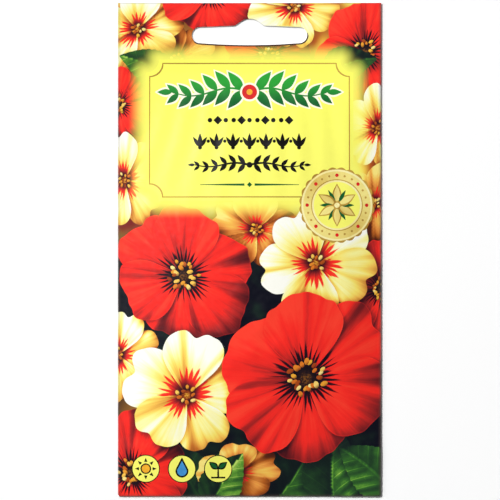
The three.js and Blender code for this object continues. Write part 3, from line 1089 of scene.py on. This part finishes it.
def buildSheet(inkSlots):
    places, faces = outerMesh()
    print("sheet: outer side,", len(faces), "triangles")
    rim = rimOf(faces)
    inside, insideFaces = innerMesh(places[rim].reshape(-1, 4))
    print("sheet: inner side,", len(insideFaces), "triangles")
    inner = {tuple(p): len(places) + k for k, p in enumerate(inside.round(4).tolist())}
    below = {v: inner[tuple(places[v].round(4).tolist())] for v in rim.ravel().tolist()}
    rimFaces = [(b, a, below[a], below[b]) for a, b in rim.tolist()]
    mesh = bpy.data.meshes.new("packetSheet")
    everyPlace = np.vstack([folded(places, 1), folded(inside, -1)]) * mm
    everyFace = faces.tolist() + (insideFaces + len(places)).tolist() + rimFaces
    mesh.from_pydata(everyPlace.tolist(), [], everyFace)

    owner = ownersOf(places[faces].mean(1))
    corner = np.concatenate(everyFace)
    flat = np.vstack([places, inside])
    blank = flat[corner]
    printed = len(faces) * 3
    size = max(blankRight - blankLeft, topY - blankBottom) + 1
    bake = (blank - (blankLeft - 0.5, blankBottom - 0.5)) / size
    scale, start = sheetGrid["plainBake"]
    bake[printed:] = bake[printed:] * scale + start
    spot = blank / mapScale
    values = np.tile((1.0, 1.0, 1.0, 0.0), (len(corner), 1))
    spot[:printed], values[:printed] = cornerInks(places, faces, owner)
    edges = np.minimum(edgeDistances(flat), edgeReach)[corner] / edgeReach
    layers = {"OFBake": bake, "petalPlace": spot, "blankPlace": blank / mapScale, "edgePlace": edges}
    for name, data in layers.items():
        layer = mesh.uv_layers.new(name=name)
        layer.uv.foreach_set("vector", data.astype(np.float32).ravel())
    colour = mesh.color_attributes.new("printShade", "FLOAT_COLOR", "CORNER")
    colour.data.foreach_set("color", values.astype(np.float32).ravel())
    material = np.full(len(mesh.polygons), inkSlots.index("bare"), np.int32)
    material[:len(faces)] = np.array([inkSlots.index(shape["ink"]) for shape in prints])[owner]
    mesh.polygons.foreach_set("material_index", material)
    mesh.polygons.foreach_set("use_smooth", np.ones(len(mesh.polygons), bool))
    mesh.set_sharp_from_angle(angle=math.radians(sheetGrid["sharp"]))
    mesh.validate()
    return mesh


def addPiece(name, mesh, node):
    piece = bpy.data.objects.new(name, mesh)
    scene.collection.objects.link(piece)
    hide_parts(node)
    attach(piece, "root")


# Materials. Colours are written as they look on screen, 0 to 255.

def screen(r, g, b):
    return (*[c / 255 / 12.92 if c <= 10 else ((c / 255 + 0.055) / 1.055) ** 2.4 for c in (r, g, b)], 1.0)


def addNode(tree, kind, inputs=None, **settings):
    made = tree.nodes.new(kind)
    for name, value in settings.items():
        setattr(made, name, value)
    for key, value in (inputs or {}).items():
        if isinstance(value, Wire):
            tree.links.new(value.socket, made.inputs[key])
        else:
            made.inputs[key].default_value = value
    return made


# What comes out of a shader node. Wires are added and multiplied like numbers.
class Wire:
    def __init__(self, socket):
        self.socket = socket

    def into(self, kind, inputs, output=0, **settings):
        return Wire(addNode(self.socket.id_data, kind, inputs, **settings).outputs[output])

    def calc(self, operation, other=0.0, clamp=False):
        return self.into("ShaderNodeMath", {0: self, 1: other}, operation=operation, use_clamp=clamp)

    def __add__(self, other):
        return self.calc("ADD", other)

    def __sub__(self, other):
        return self.calc("SUBTRACT", other)

    def __rsub__(self, number):
        return self.into("ShaderNodeMath", {0: number, 1: self}, operation="SUBTRACT")

    def __mul__(self, other):
        return self.calc("MULTIPLY", other)

    def __pow__(self, power):
        return self.calc("POWER", power)

    def __abs__(self):
        return self.calc("ABSOLUTE")

    def span(self, low, high, start=0.0, end=1.0):
        places = {0: self, 1: low, 2: high, 3: start, 4: end}
        return self.into("ShaderNodeMapRange", places, interpolation_type="SMOOTHSTEP")

    def blend(self, under, over, mode="MIX"):  # this wire is how much of over shows
        under, over = [c if isinstance(c, Wire) else screen(*c) for c in (under, over)]
        inputs = {0: self, 6: under, 7: over}
        return self.into("ShaderNodeMix", inputs, 2, data_type="RGBA", blend_type=mode)

    def ramp(self, stops):
        made = addNode(self.socket.id_data, "ShaderNodeValToRGB", {0: self})
        elements = made.color_ramp.elements
        while len(elements) < len(stops):
            elements.new(0.5)
        for element, (position, colour) in zip(elements, stops):
            element.position = position
            element.color = screen(*colour)
        return Wire(made.outputs[0])

    def parts(self, kind="ShaderNodeSeparateXYZ"):
        return [Wire(part) for part in addNode(self.socket.id_data, kind, {0: self}).outputs]

    def noise(self, scale, detail=3.0, roughness=0.6):
        inputs = {"Vector": self, "Scale": scale, "Detail": detail, "Roughness": roughness}
        return self.into("ShaderNodeTexNoise", inputs)

    def cracks(self, scale):  # distance to the lines between cells
        inputs = {"Vector": self, "Scale": scale}
        return self.into("ShaderNodeTexVoronoi", inputs, feature="DISTANCE_TO_EDGE")

    def bump(self, strength, distance, **under):
        inputs = {"Strength": strength, "Distance": distance, "Height": self, **under}
        return self.into("ShaderNodeBump", inputs)


def vector(x, y, z):
    return x.into("ShaderNodeCombineXYZ", {0: x, 1: y, 2: z})


def newMaterial(name, surfaceOf, *about):
    material = bpy.data.materials.new(name)
    material.use_nodes = True
    tree = material.node_tree
    tree.nodes.clear()
    surface = addNode(tree, "ShaderNodeBsdfPrincipled", surfaceOf(tree, *about))
    addNode(tree, "ShaderNodeOutputMaterial", {"Surface": Wire(surface.outputs[0])})
    return material


# What the mesh carries: the place in a petal or leaf and on the blank, the way to its edges, and the shade.
def readings(tree):
    names = ("petalPlace", "blankPlace", "edgePlace")
    petal, place, edges = [Wire(addNode(tree, "ShaderNodeUVMap", uv_map=name).outputs[0]) for name in names]
    carried = addNode(tree, "ShaderNodeAttribute", attribute_name="printShade", attribute_type="GEOMETRY")
    along, across, _ = petal.parts()
    toCut, toFold, _ = edges.parts()
    shade, tint, edge = Wire(carried.outputs["Color"]).parts("ShaderNodeSeparateColor")
    return SimpleNamespace(
        along=along, across=across, place=place, toCut=toCut, toFold=toFold,
        shade=shade, tint=tint, edge=edge, veil=Wire(carried.outputs["Alpha"]),
    )


finish = {
    "roughness": (0.28, 0.49),
    "specular": 0.28,
    "fibre": (0.035, 0.0002),  # the paper's grain: strength, and depth in metres
    "unevenness": (0.05, 0.0006),
    "mottle": 0.05,
    "wear": 0.20,  # how much ink is rubbed off along the folds
    "wearReach": 0.3,  # mm
    "foldShadeAndGrime": (0.36, 1.0),  # painted shade and handling grime along the folds: how dark, and how far that reaches in mm
    # the same painted shade and grime along the blank's cut edges
    "cutShadeAndGrime": (0.30, 0.5),
    # colour of that painted shade and grime
    "shadeAndGrimeInk": (80, 66, 62),
    "bareCoat": (246, 242, 232),
    "mottleInk": (120, 110, 100),
    "labelGlow": (254, 252, 108),
}


# Ink on coated paper: the ink rubs thin along the folds, and the paper's grain shows a little in the gloss.
def inkSurface(tree, colourOf):
    read = readings(tree)
    grain = read.place.noise(900)
    mottle = read.place.noise(60, 3, 0.55)
    foldShadeAndGrime, foldReach = finish["foldShadeAndGrime"]
    cutShadeAndGrime, cutReach = finish["cutShadeAndGrime"]
    worn = read.toFold.span(finish["wearReach"] / edgeReach, 0.0)
    rubbed = worn * grain.span(0.42, 0.62, 0, finish["wear"])
    # painted shade with handling grime: darker along the folds and along the blank's cut edges
    shadeAndGrime = read.toFold.span(foldReach / edgeReach, 0.0, 0.0, foldShadeAndGrime)
    shadeAndGrime = shadeAndGrime.calc("MAXIMUM", read.toCut.span(cutReach / edgeReach, 0.0, 0.0, cutShadeAndGrime))
    colour = read.veil.blend(colourOf(read), finish["labelGlow"])
    colour = shadeAndGrime.blend(colour, finish["shadeAndGrimeInk"])
    colour = rubbed.blend(colour, finish["bareCoat"])
    return {
        "Base Color": ((1.0 - mottle) * finish["mottle"]).blend(colour, finish["mottleInk"], "MULTIPLY"),
        "Roughness": (mottle + rubbed * 0.5).span(0.3, 1.1, *finish["roughness"]),
        "Specular IOR Level": finish["specular"],
        "Normal": mottle.bump(*finish["unevenness"], Normal=grain.bump(*finish["fibre"])),
    }


scarletStops = [(0.0, (10, 8, 24)), (0.15, (52, 14, 24)), (0.30, (122, 28, 32)), (0.46, (190, 38, 36)),
                (0.60, (240, 42, 36)), (0.75, (253, 44, 36)), (1.0, (255, 64, 46))]
creamStops = [(0.0, (14, 10, 20)), (0.16, (96, 46, 16)), (0.30, (196, 112, 42)), (0.44, (244, 188, 80)),
              (0.57, (253, 230, 108)), (0.70, (255, 248, 158)), (0.86, (255, 254, 214)),
              (1.0, (255, 255, 244))]
amberStops = [(0.0, (14, 10, 20)), (0.20, (92, 38, 16)), (0.40, (186, 98, 34)), (0.60, (236, 152, 68)),
              (0.80, (246, 192, 84)), (1.0, (252, 232, 130))]
glowStops = [(0.0, (48, 18, 18)), (0.2, (186, 88, 34)), (0.42, (244, 182, 66)), (0.65, (252, 234, 104)),
             (1.0, (254, 251, 168))]
leafStops = [(0.0, (8, 9, 24)), (0.22, (20, 38, 32)), (0.45, (36, 72, 38)), (0.65, (54, 108, 42)),
             (0.82, (104, 164, 56)), (1.0, (190, 220, 104))]
antherStops = [(0.0, (150, 56, 22)), (0.35, (226, 120, 36)), (0.7, (248, 190, 60)), (1.0, (255, 236, 150))]


# Fine lines that run from a petal's foot to its rim
def streaks(read, across, along):
    return vector(read.across * across, read.along * along, read.tint * 53.0).noise(1.0)


# Jagged points along the edge of an eye, 0 in a gap to 1 at a tip
def teeth(read, count):
    saw = (read.across * count + streaks(read, 3.0, 0.5) * 1.6).calc("FRACT")
    return 1.0 - abs(saw * 2.0 - 1.0)


def scarletColour(read):
    value = read.shade * streaks(read, 11.0, 0.9).span(0.25, 0.7, 0.80, 1.07)
    value = value * streaks(read, 3.2, 1.4).span(0.3, 0.65, 0.82, 1.06)
    throatEnds = teeth(read, 4.5) * 0.26 + 0.22
    value = value * read.along.span(throatEnds * 0.75, throatEnds, 0.10, 1.0)
    return (value + read.edge.span(0.10, 0.0, 0.0, 0.10)).ramp(scarletStops)


def eyedColour(read, stops, size):
    fine = streaks(read, 9.0, 0.8)
    value = read.shade * fine.span(0.25, 0.7, 0.86, 1.05) * read.along.span(0.2, 0.95, 0.74, 1.08)
    eyeEnds = (teeth(read, 3.4) * 0.20 + size) * abs(read.across).span(0.45, 1.0, 1.0, 0.55)
    eye = read.along.span(eyeEnds + 0.035, eyeEnds - 0.02)
    eyeValue = read.shade**0.6 * read.along.span(0.08, 0.36, 0.34, 1.0) * fine.span(0.3, 0.6, 0.75, 1.05)
    return eye.blend(value.ramp(stops), eyeValue.ramp(scarletStops))


def leafColour(read):
    away = abs(read.across)
    wave = (read.along * leafForm["veins"] - away**0.8 * leafForm["veinLean"]).calc("FRACT")
    side = abs(wave - 0.5).span(0.445, 0.5)
    net = read.place.cracks(70.0).span(0.055, 0.0, 0.0, 0.22)
    veins = (side * 0.7).calc("MAXIMUM", away.span(0.085, 0.02)).calc("MAXIMUM", net)
    value = read.shade * read.place.noise(9).span(0.3, 0.7, 0.50, 0.86)
    return (value + veins * read.shade * 0.30).ramp(leafStops)


def backdropColour(read):
    dark = (read.shade * read.place.noise(11, 2, 0.5).span(0.45, 0.8, 0.0, 0.5)).ramp(leafStops)
    warm = (read.shade * read.place.noise(7, 1, 0.5).span(0.3, 0.72, 0.35, 1.0)).ramp(glowStops)
    leafy = read.place.parts()[1].span(-0.05, 0.22).blend(dark, warm)
    red = read.edge.calc("MULTIPLY", 0.8, True).blend(leafy, (120, 24, 30))
    return read.tint.calc("MULTIPLY", 0.7, True).blend(red, (176, 120, 50))


def antherColour(read):
    low = read.along * 0.6 - read.across * 0.8
    return low.span(-0.1, 1.1, 0.0, 0.85).blend(read.tint.ramp(antherStops), (84, 24, 14))


def eyeColour(rim, middle):
    def colourOf(read):
        away = (read.along**2.0 + read.across**2.0).calc("SQRT")
        value = away.span(1.05, 0.1, 0.1, 1.0) * read.place.noise(160, 2).span(0.35, 0.65, 0.35, 1.1)
        return value.ramp([(0.0, (10, 8, 20)), (0.45, rim), (1.0, middle)])
    return colourOf


def plainInk(r, g, b, depth=0.06):
    dark, pale = [tuple(min(255, c * k) for c in (r, g, b)) for k in (1 - depth, 1 + depth)]
    return lambda read: read.place.noise(35).span(0.3, 0.7).blend(dark, pale)


def fadedInk(top, bottom, high, low):
    def colourOf(read):
        share = read.place.parts()[1].span(low / mapScale, high / mapScale)
        patch = (read.place.noise(40, 2, 0.5) - 0.5) * 0.2
        return share.calc("ADD", patch, True).blend(bottom, top)
    return colourOf


def goldColour(dark, pale):
    def colourOf(read):
        around = read.across.calc("ARCTAN2", read.along)
        sweep = abs((around + 0.9).calc("SINE")) * 0.6
        brushed = vector(around * 3.0, read.along, read.across).noise(3.0, 3, 0.7) * 0.5
        return sweep.calc("ADD", brushed, True).blend(dark, pale)
    return colourOf


inks = {
    "bare": plainInk(250, 248, 240, 0.015),
    "backdrop": backdropColour,
    "scarlet": scarletColour,
    "cream": lambda read: eyedColour(read, creamStops, 0.26),
    "amber": lambda read: eyedColour(read, amberStops, 0.22),
    "leaf": leafColour,
    "scarletEye": eyeColour((40, 22, 26), (120, 74, 30)),
    "creamEye": eyeColour((150, 60, 20), (240, 180, 60)),
    "amberEye": eyeColour((120, 50, 20), (230, 150, 50)),
    "anther": antherColour,
    "lemon": fadedInk((253, 254, 104), (252, 250, 112), 56, 16),
    "halo": plainInk(255, 253, 226, 0.01),
    "ground": fadedInk((255, 252, 188), (254, 248, 160), 75, -75),
    "greenInk": fadedInk((34, 140, 56), (18, 92, 48), 75, -75),
    "leafInk": fadedInk((40, 160, 52), (18, 92, 46), 52, 43),
    "redInk": plainInk(214, 38, 36),
    "blackInk": plainInk(14, 11, 12, 0.2),
    "soilInk": plainInk(112, 74, 46, 0.14),
    # dark ink of the painted shadow line along the slot's lower and right rim
    "cutLineInk": plainInk(66, 40, 38),
    "blueInk": plainInk(70, 150, 214),
    "amberInk": plainInk(248, 176, 48),
    "gold": goldColour((206, 168, 66), (255, 242, 150)),
    "goldDeep": goldColour((150, 112, 40), (206, 166, 70)),
    "goldLight": goldColour((244, 220, 130), (255, 250, 190)),
}
sheet = buildSheet(list(inks))
for name, colourOf in inks.items():
    sheet.materials.append(newMaterial("ink" + name[0].upper() + name[1:], inkSurface, colourOf))
addPiece("packet_print", sheet, "packet_sheet")
print("sheet: printed,", len(sheet.polygons), "faces")


# The seeds: plump and corky, ribbed from end to end, with a keel down one side

def seedRadius(number, x, y, z):
    around, height = np.arctan2(z, x), np.arccos(np.clip(y, -1, 1))
    phase = 1.7 * number
    sway = seeds["ribSway"] * np.sin(3 * height + phase)
    ribs = seeds["ribHeight"] * np.cos(seeds["ribs"] * around + sway)
    wrinkles = seeds["wrinkle"] * np.cos(5 * height + 3 * around + phase)
    keel = seeds["keel"] * np.cos(around - phase) ** 3
    cork = np.sin(19 * around + 4 * np.sin(6 * height)) * np.sin(17 * height + 2 * np.cos(3 * around))
    relief = np.sin(height) * (ribs + wrinkles + keel + seeds["cork"] * cork)
    return (1 + seeds["uneven"] * math.sin(2.4 * number)) * (seeds["body"] + relief)


def corkSurface(tree):
    place = Wire(addNode(tree, "ShaderNodeTexCoord").outputs["Object"])
    cracks, fine = place.cracks(1500.0), place.noise(5200, 3, 0.7)
    stops = [(0.25, (92, 66, 40)), (0.45, (150, 118, 78)), (0.6, (190, 160, 112)), (0.8, (222, 200, 156))]
    return {
        "Base Color": cracks.span(0.10, 0.0, 0.0, 0.6).blend(place.noise(900, 4).ramp(stops), (74, 50, 32)),
        "Roughness": fine.span(0.2, 0.8, 0.78, 0.96),
        "Specular IOR Level": 0.25,
        "Normal": (cracks.span(0.0, 0.2) + fine * 0.4).bump(0.5, 0.00012),
    }


def addSeed(number, material):
    mesh = bpy.data.meshes.new("seed")
    shape = bmesh.new()
    bmesh.ops.create_icosphere(shape, subdivisions=5, radius=1)
    shape.to_mesh(mesh)
    shape.free()
    place = np.empty(len(mesh.vertices) * 3)
    mesh.vertices.foreach_get("co", place)
    x, y, z = place.reshape(-1, 3).T
    place = np.stack([y, x, z], 1) * seedRadius(number, x, y, z)[:, None] * seeds["half"]
    place[:, :2] = place[:, :2] @ turning(math.degrees(seeds["turn"] * number)) + seedPlaces[number]
    low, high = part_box(f"seed_{number + 1}")
    place[:, 2] += (low[2] + high[2]) / 2 / mm - (place[:, 2].min() + place[:, 2].max()) / 2
    mesh.vertices.foreach_set("co", (place * mm).ravel())
    mesh.flip_normals()  # swapping two axes turned the faces inwards
    mesh.polygons.foreach_set("use_smooth", np.ones(len(mesh.polygons), bool))
    mesh.materials.append(material)
    addPiece(f"seed_husk_{number + 1}", mesh, f"seed_{number + 1}")


cork = newMaterial("corkySeed", corkSurface)
for number in range(seeds["count"]):
    addSeed(number, cork)
print("seeds: laid in the packet")


# Dry glue: milky, a little yellow, with brush streaks across the film

def glueSurface(tree):
    place = Wire(addNode(tree, "ShaderNodeTexCoord").outputs["Object"])
    brushed = place.into("ShaderNodeMapping", {"Vector": place, "Scale": (120, 900, 900)}).noise(1.0)
    return {
        "Base Color": place.noise(160, 3, 0.5).span(0.3, 0.7).blend((238, 230, 200), (250, 247, 234)),
        "Roughness": brushed.span(0.3, 0.7, 0.34, 0.56),
        "Normal": brushed.bump(0.3, 0.00004),
    }


dryGlue = newMaterial("dryGlue", glueSurface)
for name in ("glue_side_seam", "glue_bottom_flap", "glue_header"):
    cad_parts[name].material_slots[0].material = dryGlue
print("glue: finished")


# Floor, light and camera

studio = {
    "floor": (252, 252, 252),
    "world": 0.12,
    "key": {"at": (-1.8, 1.8, 2.9), "size": 0.65, "power": 140.0},
    "fill": {"at": (-3.0, 0.4, 2.0), "size": 2.2, "power": 27.0},
    "top": {"at": (-0.4, 3.0, 2.0), "size": 2.2, "power": 27.0},
    "lens": 200,
    "sensor": 36,
    "fieldWidth": 151.90,  # mm that the picture's width shows at the packet
    "aim": (0.146, -0.082),
}


def floorSurface(tree):
    return {"Base Color": screen(*studio["floor"]), "Roughness": 0.9, "Specular IOR Level": 0.1}


def addFloor():
    bpy.ops.mesh.primitive_plane_add(size=6, location=(0, 0, -0.00003))
    floor = bpy.context.object
    floor.name = "studio_floor"
    floor.data.materials.append(newMaterial("studioFloor", floorSurface))


def addLight(name, at, size, power):
    lamp = bpy.data.lights.new(name, "AREA")
    lamp.shape = "DISK"
    lamp.size = size
    lamp.energy = power
    holder = bpy.data.objects.new(name, lamp)
    holder.location = at
    holder.rotation_euler = (-Vector(at)).to_track_quat("-Z", "Y").to_euler()
    scene.collection.objects.link(holder)


def addWorld():
    world = bpy.data.worlds.new("studio")
    world.use_nodes = True
    background = world.node_tree.nodes["Background"].inputs
    background["Color"].default_value = (1, 1, 1, 1)
    background["Strength"].default_value = studio["world"]
    scene.world = world


def addCamera():
    data = bpy.data.cameras.new("camera")
    data.lens = studio["lens"]
    data.sensor_width = studio["sensor"]
    data.clip_start = 0.01
    data.clip_end = 20
    camera = bpy.data.objects.new("camera", data)
    away = studio["fieldWidth"] / studio["sensor"] * studio["lens"]
    camera.location = (studio["aim"][0] * mm, studio["aim"][1] * mm, (away + 1) * mm)
    scene.collection.objects.link(camera)
    scene.camera = camera


addFloor()
for name in ("key", "fill", "top"):
    addLight(name, **studio[name])
addWorld()
addCamera()
scene.view_settings.view_transform = "Standard"
print("studio: ready")
